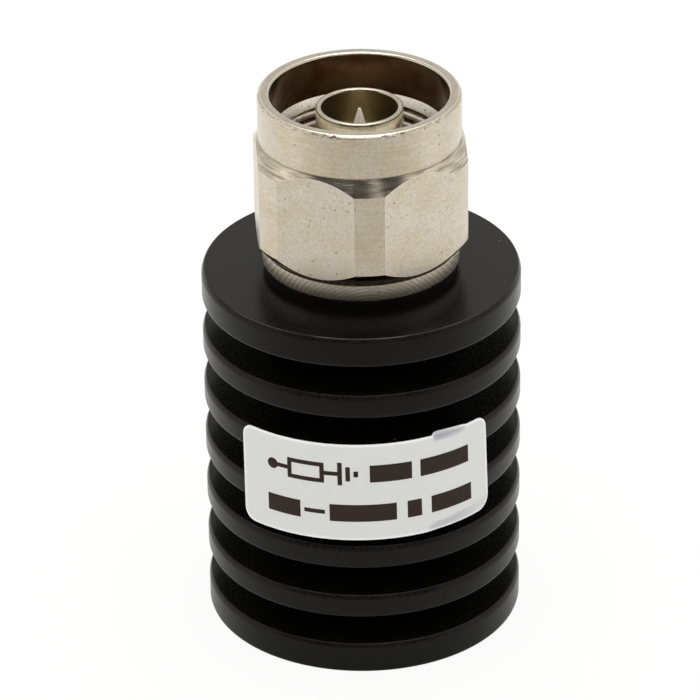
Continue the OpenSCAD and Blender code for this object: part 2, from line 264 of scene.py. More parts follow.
def nickel_plated_brass(name, light, warm_patch, rough, turning, grit, pits):
    """Satin nickel over machined brass: a warm grey metal with frosted grain, turning marks, dark pits and
    slanted scratches, edges painted bright as worn metal and as a painted highlight, and painted shade in
    corners."""
    pit_spacing, pit_size, scratch_size, scratch_stretch = 0.6, 0.17, 0.12, 3.5
    made, tree = bare_material(name)
    place = millimetres(tree)
    grain = node(tree, "ShaderNodeTexNoise", {"Vector": place, "Scale": 1 / GRAIN, "Detail": 3.0})
    cloud = node(tree, "ShaderNodeTexNoise", {"Vector": place, "Scale": 1 / 2.5, "Detail": 3.0})
    marks = node(
        tree,
        "ShaderNodeTexNoise",
        {"Vector": round_axis(tree, place, 1.2), "Scale": 1 / GRAIN, "Detail": 2.0},
    )
    wear_and_painted_light = node(tree, "ShaderNodeAttribute", attribute_name="wear_and_painted_light").outputs["Fac"]
    warm = node(
        tree,
        "ShaderNodeMapRange",
        {0: cloud, 1: 0.38, 2: 0.68, 3: 0.0, 4: 1.0},
        interpolation_type="SMOOTHSTEP",
    )
    tint = node(
        tree,
        "ShaderNodeMix",
        {0: warm, MIX_A: colour(light), MIX_B: colour(warm_patch)},
        data_type="RGBA",
    )
    frost = node(
        tree,
        "ShaderNodeMapRange",
        {0: grain, 1: NOISE_LOW, 2: NOISE_HIGH, 3: 1 - 0.2 * grit, 4: 1 + 0.14 * grit},
    )
    scored = node(
        tree,
        "ShaderNodeMapRange",
        {0: marks, 1: NOISE_LOW, 2: NOISE_HIGH, 3: 1 - 0.1 * turning, 4: 1 + 0.1 * turning},
    )
    shade = node(tree, "ShaderNodeMath", {0: frost, 1: scored}, operation="MULTIPLY")
    frosted = node(
        tree,
        "ShaderNodeVectorMath",
        {0: tint.outputs[MIX_OUT], 1: shade},
        operation="MULTIPLY",
    )
    slanted = node(
        tree,
        "ShaderNodeMapping",
        {"Vector": place, "Rotation": (0.4, 0.9, 0.0), "Scale": (1.0, 1.0, scratch_stretch)},
        vector_type="TEXTURE",
    )
    scratches = specks(tree, slanted, pit_spacing, scratch_size, 0.6 * pits)
    dents = specks(tree, place, pit_spacing, pit_size, pits)
    damage = node(tree, "ShaderNodeMath", {0: dents, 1: scratches}, operation="MAXIMUM")
    pitted = node(
        tree,
        "ShaderNodeMix",
        {0: damage, MIX_A: frosted, MIX_B: colour("#6e6154")},
        data_type="RGBA",
    )
    # Edges marked above 0 turn a bright cream: part worn metal, part painted highlight
    worn_and_highlit = node(
        tree,
        "ShaderNodeMix",
        {0: wear_and_painted_light, MIX_A: pitted.outputs[MIX_OUT], MIX_B: colour("#f0e9d8")},
        data_type="RGBA",
    )
    # Marks below 0 darken to dark brown: painted shade in a corner
    corner_shade = node(tree, "ShaderNodeMapRange", {0: wear_and_painted_light, 1: 0.0, 2: -1.0, 3: 0.0, 4: 1.0})
    corner_shaded = node(
        tree,
        "ShaderNodeMix",
        {0: corner_shade, MIX_A: worn_and_highlit.outputs[MIX_OUT], MIX_B: colour("#2a241c")},
        data_type="RGBA",
    )
    spread = node(
        tree,
        "ShaderNodeMapRange",
        {0: grain, 1: NOISE_LOW, 2: NOISE_HIGH, 3: rough - 0.05 * grit, 4: rough + 0.09 * grit},
    )
    lines = node(tree, "ShaderNodeMath", {0: marks, 1: turning}, operation="MULTIPLY")
    height = node(tree, "ShaderNodeMath", {0: grain, 1: grit, 2: lines}, operation="MULTIPLY_ADD")
    bump = node(tree, "ShaderNodeBump", {"Strength": 0.25, "Distance": 0.012 * MM, "Height": height})
    shader = node(
        tree,
        "ShaderNodeBsdfPrincipled",
        {
            "Base Color": corner_shaded.outputs[MIX_OUT],
            "Metallic": 1.0,
            "Roughness": spread,
            "Normal": bump,
        },
    )
    node(tree, "ShaderNodeOutputMaterial", {"Surface": shader})
    return made


def chattered_nickel():
    """Nickel over a ring that the cutter chattered on: dull, with fine arcs and dark pits. The arcs are
    wider apart than real ones, so that they show."""
    arc_spacing, arc_x, arc_drop = 0.36, 0.8, 3.0
    made, tree = bare_material("chattered_nickel_plated_brass")
    place = millimetres(tree)
    centre = node(
        tree,
        "ShaderNodeMapping",
        {"Vector": place, "Location": (-arc_x, 0.0, arc_drop - SEAT_Z), "Scale": (1, 0, 1)},
    )
    waver = node(tree, "ShaderNodeTexNoise", {"Vector": place, "Scale": 1 / 1.4, "Detail": 2.0})
    # At a scale of 1 a wave texture's rings are tau / 20 apart
    arcs = node(
        tree,
        "ShaderNodeTexWave",
        {"Vector": centre, "Scale": 1 / (arc_spacing * 20 / tau), "Distortion": 1.2, "Detail": 2.0},
        wave_type="RINGS",
        rings_direction="Y",
    )
    grain = node(tree, "ShaderNodeTexNoise", {"Vector": place, "Scale": 1 / 0.2, "Detail": 4.0})
    wear_and_painted_light = node(tree, "ShaderNodeAttribute", attribute_name="wear_and_painted_light").outputs["Fac"]
    depth = node(tree, "ShaderNodeMath", {0: arcs.outputs["Fac"], 1: waver}, operation="MULTIPLY")
    tint = node(
        tree,
        "ShaderNodeMix",
        {0: depth, MIX_A: colour("#c0b5a3"), MIX_B: colour("#f3ecde")},
        data_type="RGBA",
    )
    frost = node(tree, "ShaderNodeMapRange", {0: grain, 1: NOISE_LOW, 2: NOISE_HIGH, 3: 0.8, 4: 1.1})
    frosted = node(tree, "ShaderNodeVectorMath", {0: tint.outputs[MIX_OUT], 1: frost}, operation="MULTIPLY")
    pitted = node(
        tree,
        "ShaderNodeMix",
        {0: specks(tree, place, 0.7, 0.16, 0.35), MIX_A: frosted, MIX_B: colour("#4c4338")},
        data_type="RGBA",
    )
    # Edges marked above 0 turn a bright cream: part worn metal, part painted highlight
    worn_and_highlit = node(
        tree,
        "ShaderNodeMix",
        {0: wear_and_painted_light, MIX_A: pitted.outputs[MIX_OUT], MIX_B: colour("#efe8d8")},
        data_type="RGBA",
    )
    bump = node(tree, "ShaderNodeBump", {"Strength": 0.6, "Distance": 0.02 * MM, "Height": depth})
    shader = node(
        tree,
        "ShaderNodeBsdfPrincipled",
        {"Base Color": worn_and_highlit.outputs[MIX_OUT], "Metallic": 1.0, "Roughness": 0.5, "Normal": bump},
    )
    node(tree, "ShaderNodeOutputMaterial", {"Surface": shader})
    return made


def black_anodised(name, base, worn, mottle):
    """Black anodised aluminium: a deep black satin skin with faint turning rings, dust, and rubbed edges
    that are painted lighter, part worn metal and part painted highlight.
    Rings and grain are coarser than real ones, so that they show."""
    made, tree = bare_material(name)
    place = millimetres(tree)
    rings = node(
        tree,
        "ShaderNodeTexNoise",
        {"Vector": round_axis(tree, place, 0.6), "Scale": 1 / 0.18, "Detail": 3.0},
    )
    grain = node(tree, "ShaderNodeTexNoise", {"Vector": place, "Scale": 1 / 0.22, "Detail": 3.0})
    patch = node(tree, "ShaderNodeTexNoise", {"Vector": place, "Scale": 1 / 5.0, "Detail": 6.0})
    wear_and_painted_light = node(tree, "ShaderNodeAttribute", attribute_name="wear_and_painted_light").outputs["Fac"]
    rubbed = node(tree, "ShaderNodeMapRange", {0: patch, 1: 0.4, 2: 0.65, 3: 0.0, 4: 1.0})
    rub_and_sheen = node(tree, "ShaderNodeMath", {0: wear_and_painted_light, 1: rubbed}, operation="MULTIPLY")
    blotch = node(tree, "ShaderNodeMapRange", {0: grain, 1: 0.35, 2: 0.7, 3: 0.0, 4: mottle})
    skin = node(
        tree,
        "ShaderNodeMix",
        {0: blotch, MIX_A: colour(base), MIX_B: colour(worn)},
        data_type="RGBA",
    )
    dusty = node(
        tree,
        "ShaderNodeMix",
        {0: specks(tree, place, 2.6, 0.16, 0.4), MIX_A: skin.outputs[MIX_OUT], MIX_B: colour("#6f6a62")},
        data_type="RGBA",
    )
    # Rubbed edges turn grey: part worn anodising, part painted highlight
    rubbed_and_lit = node(
        tree,
        "ShaderNodeMix",
        {0: rub_and_sheen, MIX_A: dusty.outputs[MIX_OUT], MIX_B: colour("#57534d")},
        data_type="RGBA",
    )
    spread = node(tree, "ShaderNodeMapRange", {0: grain, 1: NOISE_LOW, 2: NOISE_HIGH, 3: 0.22, 4: 0.3})
    bump = node(tree, "ShaderNodeBump", {"Strength": 0.15, "Distance": 0.008 * MM, "Height": rings})
    shader = node(
        tree,
        "ShaderNodeBsdfPrincipled",
        {
            "Base Color": rubbed_and_lit.outputs[MIX_OUT],
            "Roughness": spread,
            "Specular IOR Level": 0.14,
            "Normal": bump,
        },
    )
    node(tree, "ShaderNodeOutputMaterial", {"Surface": shader})
    return made


def plain_metal(name, light, dark, rough):
    """A turned metal without wear: fine rings round the axis and a slightly uneven tint."""
    made, tree = bare_material(name)
    place = millimetres(tree)
    rings = node(
        tree,
        "ShaderNodeTexNoise",
        {"Vector": round_axis(tree, place, 0.8), "Scale": 1 / 0.12, "Detail": 2.0},
    )
    tint = node(
        tree,
        "ShaderNodeMix",
        {0: rings, MIX_A: colour(dark), MIX_B: colour(light)},
        data_type="RGBA",
    )
    bump = node(tree, "ShaderNodeBump", {"Strength": 0.2, "Distance": 0.01 * MM, "Height": rings})
    shader = node(
        tree,
        "ShaderNodeBsdfPrincipled",
        {"Base Color": tint.outputs[MIX_OUT], "Metallic": 1.0, "Roughness": rough, "Normal": bump},
    )
    node(tree, "ShaderNodeOutputMaterial", {"Surface": shader})
    return made


def soft_solid(name, light, dark, rough, grit, gloss=0.5):
    """A matt solid that isn't metal: an even colour with a fine grit of the given size."""
    made, tree = bare_material(name)
    place = millimetres(tree)
    grain = node(tree, "ShaderNodeTexNoise", {"Vector": place, "Scale": 1 / grit, "Detail": 4.0})
    tint = node(
        tree,
        "ShaderNodeMix",
        {0: grain, MIX_A: colour(dark), MIX_B: colour(light)},
        data_type="RGBA",
    )
    bump = node(tree, "ShaderNodeBump", {"Strength": 0.2, "Distance": 0.02 * MM, "Height": grain})
    shader = node(
        tree,
        "ShaderNodeBsdfPrincipled",
        {
            "Base Color": tint.outputs[MIX_OUT],
            "Roughness": rough,
            "Specular IOR Level": gloss,
            "Normal": bump,
        },
    )
    node(tree, "ShaderNodeOutputMaterial", {"Surface": shader})
    return made


def lathe(outline, closed):
    """Spins an outline of (radius, height) points round the axis."""
    bm = bmesh.new()
    bm.verts.layers.float.new("wear_and_painted_light")
    ring = [bm.verts.new((r, 0.0, z)) for r, z in outline]
    ends = ring[1:] + ring[:1] if closed else ring[1:]
    edges = [bm.edges.new(pair) for pair in zip(ring, ends)]
    bmesh.ops.spin(
        bm,
        geom=ring + edges,
        cent=(0, 0, 0),
        axis=(0, 0, 1),
        angle=tau,
        steps=TURNED_STEPS,
        use_merge=True,
    )
    bmesh.ops.remove_doubles(bm, verts=bm.verts[:], dist=1e-4)
    bmesh.ops.recalc_face_normals(bm, faces=bm.faces[:])
    return bm


def round_edges(bm, width, least=radians(20)):
    """Rounds every outer corner sharper than the least angle and marks its middle line, later painted
    bright as worn metal and as a painted highlight.
    An inner corner stays sharp."""
    wear_and_painted_light = bm.verts.layers.float["wear_and_painted_light"]
    bends = [e for e in bm.edges if e.is_manifold and e.calc_face_angle() > least]
    corners = [e for e in bends if e.is_convex]
    for edge in bends:
        edge.smooth = edge.is_convex
    made = bmesh.ops.bevel(
        bm,
        geom=corners,
        offset=width,
        offset_type="OFFSET",
        affect="EDGES",
        segments=2,
        profile=0.5,
        material=-1,
        clamp_overlap=True,
    )
    fresh = set(made["faces"])
    for v in made["verts"]:
        if fresh.issuperset(v.link_faces):
            v[wear_and_painted_light] = 1.0


def arc(centre, radius, first, last, steps=4):
    """Points of an arc about a centre, from one angle to another in degrees."""
    turns = [radians(first + (last - first) * k / steps) for k in range(steps + 1)]
    return [(centre[0] + radius * cos(t), centre[1] + radius * sin(t)) for t in turns]


def piece(name, bm, body, nodes, materials):
    """Makes a finished mesh an object that rides on a body and stands for its solids."""
    bmesh.ops.scale(bm, vec=(MM,) * 3, verts=bm.verts[:])
    for face in bm.faces:
        face.smooth = True
    mesh = bpy.data.meshes.new(name)
    bm.to_mesh(mesh)
    bm.free()
    for material in materials:
        mesh.materials.append(material)
    made = bpy.data.objects.new(name, mesh)
    bpy.context.scene.collection.objects.link(made)
    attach(made, body)
    if nodes:
        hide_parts(*nodes)
    return made


def even_shading(made):
    """Lets broad faces rule the shading at their rounded edges."""
    weigh = made.modifiers.new("broad_faces", "WEIGHTED_NORMAL")
    weigh.keep_sharp = True
    weigh.weight = 100


def disc_levels():
    """Bottom and top of every disc of the heat sink."""
    levels, z = [], 0.0
    for thickness in [BASE_T] + [FIN_T] * (FIN_COUNT - 2) + [TOP_T]:
        levels.append((z, z + thickness))
        z += thickness + GROOVE_W
    return levels


def heat_sink():
    """Discs on a core, with the raised seat and the stepped bore."""
    outline = [(0, 0)]
    discs = disc_levels()
    for k, (z0, z1) in enumerate(discs):
        outline += [
            (FIN_R - FIN_EDGE_W, z0),
            (FIN_R, z0 + FIN_EDGE_H),
            (FIN_R, z1 - CHAMFER_H),
            (FIN_R - CHAMFER_W, z1),
        ]
        if k < FIN_COUNT - 1:
            r, z2 = CORE_R + GROOVE_ROUND, z1 + GROOVE_W
            outline += arc((r, z1 + GROOVE_ROUND), GROOVE_ROUND, 270, 180, steps=6)
            outline += arc((r, z2 - GROOVE_ROUND), GROOVE_ROUND, 180, 90, steps=6)
    outline += [
        (SEAT_R, FINS_H),
        (SEAT_R, SEAT_Z),
        (SCREW_R, SEAT_Z),
        (SCREW_R, SPIGOT_Z),
        (BORE_R, SPIGOT_Z),
        (BORE_R, BORE_FLOOR),
        (0, BORE_FLOOR),
    ]
    bm = lathe(outline, closed=False)
    round_edges(bm, DISC_ROUND)
    # Only the upper edges of the discs are rubbed and painted with a highlight, most of all the top one
    wear_and_painted_light = bm.verts.layers.float["wear_and_painted_light"]
    tops = [top for _, top in discs]
    for v in bm.verts:
        near = min(tops, key=lambda top: abs(v.co.z - top))
        on_top = abs(v.co.z - near) < DISC_ROUND and v.co.xy.length > SEAT_R + 1
        v[wear_and_painted_light] *= (1.0 if near == tops[-1] else INNER_DISC_RUB_AND_SHEEN) if on_top else 0.0
    # The chamfers, which slope, have the second finish
    for face in bm.faces:
        radius = face.calc_center_median().xy.length
        if radius > FIN_R - CHAMFER_W and 0.2 < face.normal.z < 0.95:
            face.material_index = 1
    made = piece(
        "finned_heat_sink",
        bm,
        "load",
        ["heat_sink"],
        [
            black_anodised("black_anodised_aluminium", "#0a0908", "#100f0c", mottle=0.5),
            black_anodised("black_anodised_chamfer", "#0b0a09", "#1b1916", mottle=1.0),
        ],
    )
    even_shading(made)


def connector_body():
    """Spigot, flange ring and barrel."""
    outline = [
        (BARREL_BORE_R, SPIGOT_Z),
        (SPIGOT_R - SPIGOT_CHAMFER, SPIGOT_Z),
        (SPIGOT_R, SPIGOT_Z + SPIGOT_CHAMFER),
        (SPIGOT_R, SEAT_Z),
        (FLANGE_R, SEAT_Z),
        (FLANGE_R, FLANGE_Z),
        (BARREL_R, FLANGE_Z),
        (BARREL_R, RING_Z - FIT_GAP),
        (RING_IN_R, RING_Z - FIT_GAP),
        (RING_IN_R, RING_Z + RING_H + FIT_GAP),
        (BARREL_R, RING_Z + RING_H + FIT_GAP),
        (BARREL_R, BARREL_Z),
        (BARREL_BORE_R, BARREL_Z),
    ]
    bm = lathe(outline, closed=True)
    round_edges(bm, EDGE_ROUND)
    even_shading(
        piece(
            "flange_and_barrel",
            bm,
            "load",
            ["connector_body"],
            [chattered_nickel()],
        )
    )


def outer_contact(finishes):
    """Sleeve in the mouth, darker inside and with a smooth rim, its hub and its tail in the barrel."""
    outline = [
        (LINE_R, CONTACT_Z),
        (BARREL_BORE_R - FIT_GAP, CONTACT_Z),
        (BARREL_BORE_R - FIT_GAP, BARREL_Z),
        (HUB_R, BARREL_Z),
        (HUB_R, HUB_Z),
        (CONTACT_R, HUB_Z),
    ]
    outline += arc((CONTACT_R - RIM_ROUND, RIM_Z - RIM_ROUND), RIM_ROUND, 0, 90)
    outline += arc((LINE_R + RIM_ROUND, RIM_Z - RIM_ROUND), RIM_ROUND, 90, 180)
    bm = lathe(outline, closed=True)
    round_edges(bm, EDGE_ROUND, least=radians(40))
    for face in bm.faces:
        middle = face.calc_center_median()
        if middle.z > RIM_Z - RIM_ROUND:
            face.material_index = SLEEVE_RIM
        elif middle.xy.length < LINE_R + 0.01:
            face.material_index = SLEEVE_BORE
    even_shading(
        piece("outer_contact_sleeve", bm, "load", ["outer_contact"], finishes)
    )


def thread_ridge(bm):
    """Helical ridge of the coupling thread, standing a little in the wall behind it."""
    crest, base, sunk = THREAD_PITCH * 0.2, THREAD_PITCH * 0.44, 0.03
    start = HUB_Z + THREAD_PITCH / 2
    turns = (THREAD_Z - start) / THREAD_PITCH
    steps_per_turn = 120
    steps = round(turns * steps_per_turn)
    section = [
        bm.verts.new((ROOT_R + sunk, 0, start - base)),
        bm.verts.new((THREAD_R, 0, start - crest)),
        bm.verts.new((THREAD_R, 0, start + crest)),
        bm.verts.new((ROOT_R + sunk, 0, start + base)),
    ]
    edges = [bm.edges.new(pair) for pair in zip(section, section[1:] + section[:1])]
    bmesh.ops.spin(
        bm,
        geom=section + edges,
        cent=(0, 0, 0),
        axis=(0, 0, 1),
        dvec=(0, 0, THREAD_PITCH / steps_per_turn),
        angle=tau * steps / steps_per_turn,
        steps=steps,
    )
    open_edges = [e for e in bm.edges if e.is_boundary]
    bmesh.ops.holes_fill(bm, edges=open_edges, sides=4)


def cut_flats(bm):
    """Cuts the six flats off the turned blank and draws a thin line inside each border, a painted highlight
    that stands for a bevel.
    """
    wear_and_painted_light = bm.verts.layers.float["wear_and_painted_light"]
    for k in range(HEX_SIDES):
        turn = radians(NUT_TURN + k * 360 / HEX_SIDES)
        out = Vector((cos(turn), sin(turn), 0))
        cut = bmesh.ops.bisect_plane(
            bm,
            geom=bm.verts[:] + bm.edges[:] + bm.faces[:],
            plane_co=out * FLAT_R,
            plane_no=out,
            clear_outer=True,
        )
        rim = [e for e in cut["geom_cut"] if isinstance(e, bmesh.types.BMEdge)]
        flat = bmesh.ops.edgeloop_fill(bm, edges=rim)["faces"]
        for edge in flat[0].edges:
            edge.smooth = False
        outer, inner = [
            bmesh.ops.inset_region(bm, faces=flat, thickness=FLAT_BORDER, use_even_offset=True)["faces"]
            for _ in range(2)
        ]
        # The inner line of each border carries the painted highlight
        line = {v for face in inner for v in face.verts}.difference(flat[0].verts)
        for face in flat + outer + inner:
            face.material_index = FLAT
            for v in face.verts:
                v[wear_and_painted_light] = FLAT_BORDER_HIGHLIGHT if v in line else 0.0


def nick_mouth(bm):
    """Small knocks that eat into the mouth's bevel from its outer edge, most of them at the front."""
    # Scale of the long and the short knocks per millimetre, their depth, and the noise they start above
    long, short, deepest, spared = 1.6, 4.0, 0.2, 0.14
    for v in bm.verts:
        radius = v.co.xy.length
        if radius > COLLAR_R - 2 * EDGE_ROUND and v.co.z > MOUTH_Z - BEVEL_H - 2 * EDGE_ROUND:
            knock = noise.noise(v.co * long) + 0.8 * noise.noise(v.co * short)
            front = clamp(0.5 - 0.8 * v.co.y / radius)
            depth = front * min(deepest, 0.5 * max(0.0, knock - spared))
            v.co.z += depth * BEVEL_H / BEVEL_W
            v.co.xy *= 1 - depth / radius


def coupling_nut(finishes):
    """Hexagon nut with turned corners, a plain collar, an open mouth and a thread."""
    outline = [
        (REAR_BORE_R, NUT_Z),
        (FOOT_R, NUT_Z),
        (CORNER_R, NUT_Z + FOOT_H),
        (CORNER_R, COLLAR_Z - SHOULDER_H),
        (COLLAR_R + CORNER_SHADE_W, COLLAR_Z - CORNER_SHADE_W * SHOULDER_H / (CORNER_R - COLLAR_R)),
        (COLLAR_R, COLLAR_Z),
        (COLLAR_R, COLLAR_Z + CORNER_SHADE_W),
        (COLLAR_R, MOUTH_Z - BEVEL_H - KNOCK_H),
        (COLLAR_R, MOUTH_Z - BEVEL_H),
        (COLLAR_R - BEVEL_W, MOUTH_Z),
        (MOUTH_R + MOUTH_EDGE, MOUTH_Z),
        (MOUTH_R, MOUTH_Z - MOUTH_EDGE),
        (PLAIN_R, CONE_Z),
        (THREAD_R, THREAD_Z),
        (ROOT_R, THREAD_Z - LIP_H),
        (ROOT_R, HUB_Z),
        (RELIEF_R, HUB_Z),
        (RELIEF_R, REAR_BORE_Z),
        (REAR_BORE_R, REAR_BORE_Z),
        (REAR_BORE_R, RING_Z + RING_H + RING_PLAY),
        (RING_GROOVE_R, RING_Z + RING_H + RING_PLAY),
        (RING_GROOVE_R, RING_Z - RING_PLAY),
        (REAR_BORE_R, RING_Z - RING_PLAY),
    ]
    bm = lathe(outline, closed=True)
    round_edges(bm, EDGE_ROUND, least=radians(18))
    wear_and_painted_light = bm.verts.layers.float["wear_and_painted_light"]
    # Painted shade along the inner corner at the foot of the collar
    for v in bm.verts:
        if abs(v.co.z - COLLAR_Z) < 0.01 and abs(v.co.xy.length - COLLAR_R) < 0.01:
            v[wear_and_painted_light] = CORNER_SHADE
    nick_mouth(bm)
    cut_flats(bm)
    thread_ridge(bm)
    for face in bm.faces:
        middle = face.calc_center_median()
        radius = middle.xy.length
        # Inside the mouth the plain bore gets nickel painted in shade
        if radius < MOUTH_R + 0.01 and middle.z > REAR_BORE_Z:
            # The bottom of the thread groove and the relief are painted in deeper shade
            in_shaded_root = middle.z < THREAD_Z and radius > ROOT_R - EDGE_ROUND
            # The thread's ridge and lead-in cone get a lighter copy of the nickel, painted light
            face.material_index = SHADED if middle.z > CONE_Z else DEEP_SHADED if in_shaded_root else LIT_THREAD
        elif face.normal.z > 0.98 and middle.z > COLLAR_Z:
            face.material_index = FACED
        elif 0.3 < face.normal.z < 0.7 and COLLAR_Z - SHOULDER_H < middle.z < COLLAR_Z:
            face.material_index = SMOOTH
        # The foot's underside, in the gap over the flange, is painted in shade
        elif -0.8 < face.normal.z < -0.2 and middle.z < NUT_Z + FOOT_H:
            face.material_index = SHADED
    bmesh.ops.recalc_face_normals(bm, faces=bm.faces[:])
    even_shading(
        piece("hexagon_coupling_nut", bm, "nut", ["coupling_nut"], finishes)
    )


def center_pin():
    """Pin with its tapered tip, the conductor, the neck in the bead and the tail."""
    outline = [
        (0, PIN_Z),
        (TAIL_R, PIN_Z),
        (TAIL_R, BEAD_Z),
        (NECK_R, BEAD_Z),
        (NECK_R, CONTACT_Z),
        (CONDUCTOR_R, CONTACT_Z),
        (CONDUCTOR_R, SHOULDER_Z),
        (PIN_R, SHOULDER_Z),
        (PIN_R, TIP_Z - TIP_L),
        (TIP_R, TIP_Z),
        (0, TIP_Z),
    ]
    bm = lathe(outline, closed=False)
    round_edges(bm, PIN_ROUND)
    pin = plain_metal("plated_contact", "#fffaf0", "#f3ecdf", rough=0.85)
    even_shading(piece("pin_contact", bm, "load", ["center_pin"], [pin]))
    return pin


def gasket():
    """Red seal ring on the front of the barrel."""
    inner = HUB_R + FIT_GAP
    outline = [(inner, BARREL_Z), (GASKET_R, BARREL_Z), (GASKET_R, HUB_Z), (inner, HUB_Z)]
    bm = lathe(outline, closed=True)
    round_edges(bm, GASKET_ROUND)
    red = soft_solid("red_silicone", "#7c140d", "#66100a", rough=0.5, grit=0.3)
    piece("seal_ring", bm, "load", ["gasket"], [red])


def label_folds(u, v):
    """How far the loose top edge at the right and the loose lower right corner are folded in, from 0 up."""
    top_from, top_to, corner_from = 6.4, 10.2, 5.6
    top = max(0.0, v - TOP_FOLD) * clamp((u - top_from) / 0.4) * clamp((top_to - u) / 2.6) ** 0.5
    corner = max(0.0, CORNER_FOLD + 0.1 * (u - corner_from) - v) * clamp((u - corner_from) / 1.2)
    return top, corner


def on_label(u, v, rise):
    """A point of the flat label, bent round the discs and raised from it."""
    top, corner = label_folds(u, v)
    bend = TOP_BEND * top + CORNER_BEND * corner
    slant = TOP_RIGHT_SLANT * clamp(2 * u / LABEL_W) ** 2 * (v / LABEL_H + 0.5)
    along = u * cos(LABEL_TILT) - v * sin(LABEL_TILT) - slant
    up = u * sin(LABEL_TILT) + v * cos(LABEL_TILT)
    turn = along / LABEL_R + LABEL_TURN
    r = LABEL_R + bend + rise
    return Vector((r * sin(turn), -r * cos(turn), LABEL_Z + up))


def thicken(made, thickness, offset):
    """Gives a bent sheet its thickness."""
    wall = made.modifiers.new("thickness", "SOLIDIFY")
    wall.thickness = thickness * MM
    wall.offset = offset


def label_film():
    """White label film: an even satin white, with a painted highlight along its cut edge and painted shade
    where it is folded.
    """
    made, tree = bare_material("white_label_film")
    place = millimetres(tree)
    grain = node(tree, "ShaderNodeTexNoise", {"Vector": place, "Scale": 1 / 0.15, "Detail": 4.0})
    edge = node(tree, "ShaderNodeAttribute", attribute_name="wear_and_painted_light").outputs["Fac"]
    fold_shade = node(tree, "ShaderNodeAttribute", attribute_name="fold_shade").outputs["Fac"]
    tint = node(
        tree,
        "ShaderNodeMix",
        {0: grain, MIX_A: colour("#cfd0ce"), MIX_B: colour("#dddedd")},
        data_type="RGBA",
    )
    # Painted shade on the folded parts: a grey-lilac tint
    folded = node(
        tree,
        "ShaderNodeMix",
        {0: fold_shade, MIX_A: tint.outputs[MIX_OUT], MIX_B: colour("#a9a9b4")},
        data_type="RGBA",
    )
    # A painted highlight along the cut edge: the band there turns white
    cut = node(
        tree,
        "ShaderNodeMix",
        {0: edge, MIX_A: folded.outputs[MIX_OUT], MIX_B: colour("#ffffff")},
        data_type="RGBA",
    )
    bump = node(tree, "ShaderNodeBump", {"Strength": 0.2, "Distance": 0.02 * MM, "Height": grain})
    shader = node(
        tree,
        "ShaderNodeBsdfPrincipled",
        {"Base Color": cut.outputs[MIX_OUT], "Roughness": 0.45, "Normal": bump},
    )
    node(tree, "ShaderNodeOutputMaterial", {"Surface": shader})
    return made


def label():
    """White sticker, cut with round corners and bent round the discs."""
    bm = bmesh.new()
    edge = bm.verts.layers.float.new("wear_and_painted_light")
    fold_shade = bm.verts.layers.float.new("fold_shade")
    bmesh.ops.create_grid(
        bm, x_segments=1, y_segments=1, size=0.5, matrix=Matrix.Diagonal((LABEL_W, LABEL_H, 1, 1))
    )
    bmesh.ops.bevel(
        bm,
        geom=bm.verts[:],
        offset=LABEL_CORNER,
        offset_type="OFFSET",
        affect="VERTICES",
        segments=6,
        profile=0.5,
        material=-1,
    )
    bmesh.ops.inset_region(
        bm, faces=bm.faces[:], thickness=CUT_EDGE, use_boundary=True, use_even_offset=True
    )
    # The band along the cut edge is marked for its painted highlight
    for v in bm.verts:
        v[edge] = 1.0 if v.is_boundary else 0.0
    for span, axis in ((LABEL_W, Vector((1, 0, 0))), (LABEL_H, Vector((0, 1, 0)))):
        count = round(span / LABEL_GRID)
        for k in range(1, count):
            bmesh.ops.bisect_plane(
                bm,
                geom=bm.verts[:] + bm.edges[:] + bm.faces[:],
                plane_co=axis * span * (k / count - 0.5),
                plane_no=axis,
            )
    for v in bm.verts:
        top, corner = label_folds(v.co.x, v.co.y)
        # The folded corner's painted shade is the lighter one and fades towards the label's end
        corner_fold_shade = 0.7 * (1 - 0.7 * clamp((v.co.x - 9.0) / 3))
        v[fold_shade] = clamp(top / FOLD_REACH) + corner_fold_shade * clamp(corner / FOLD_REACH)
        v.co = on_label(v.co.x, v.co.y, 0.0)
    made = piece("label_sheet", bm, "load", ["label"], [label_film()])
    thicken(made, LABEL_T, -1)


def print_bar(bm, u, v, width, height):
    """One printed bar, by its middle, cut across so that it bends with the label."""
    bmesh.ops.create_grid(
        bm,
        x_segments=max(1, round(width / LABEL_GRID)),
        y_segments=max(1, round(height / LABEL_GRID)),
        size=0.5,
        matrix=Matrix.Translation((u, v, 0)) @ Matrix.Diagonal((width, height, 1, 1)),
    )


def label_print():
    """Plain printed marks: a load symbol and two rows of bars."""
    bm = bmesh.new()
    stroke, tall, row_1, row_2 = 0.42, 1.8, 2.0, -2.2
    # Terminal, lead, resistor box, lead and the strokes of the ground
    bmesh.ops.create_circle(
        bm, cap_ends=True, segments=20, radius=0.55, matrix=Matrix.Translation((-9.3, row_1, 0))
    )
    symbol = [
        (-8.3, 0.0, 1.2, stroke),
        (-5.9, 0.85, 3.6, stroke),
        (-5.9, -0.85, 3.6, stroke),
        (-7.5, 0.0, stroke, 1.3),
        (-4.3, 0.0, stroke, 1.3),
        (-3.45, 0.0, 1.3, stroke),
    ]
    symbol += [(-2.6 + 0.75 * k, 0.0, stroke, height) for k, height in enumerate((2.4, 1.5, 0.6))]
    for u, rise, width, height in symbol:
        print_bar(bm, u, row_1 + rise, width, height)
    for u, width in ((2.2, 4.0), (7.7, 5.3)):
        print_bar(bm, u, row_1, width, tall)
    print_bar(bm, -5.1, row_2, 2.0, stroke)
    for u, width in ((-8.2, 3.4), (-0.5, 6.3), (4.4, 1.4), (8.35, 4.5)):
        print_bar(bm, u, row_2, width, tall)
    for v in bm.verts:
        v.co = on_label(v.co.x, v.co.y, PRINT_RISE)
    ink = soft_solid("dark_print_ink", "#372b25", "#2b211c", rough=0.6, grit=0.2, gloss=0.12)
    made = piece("label_print", bm, "load", [], [ink])
    thicken(made, PRINT_T, 0)


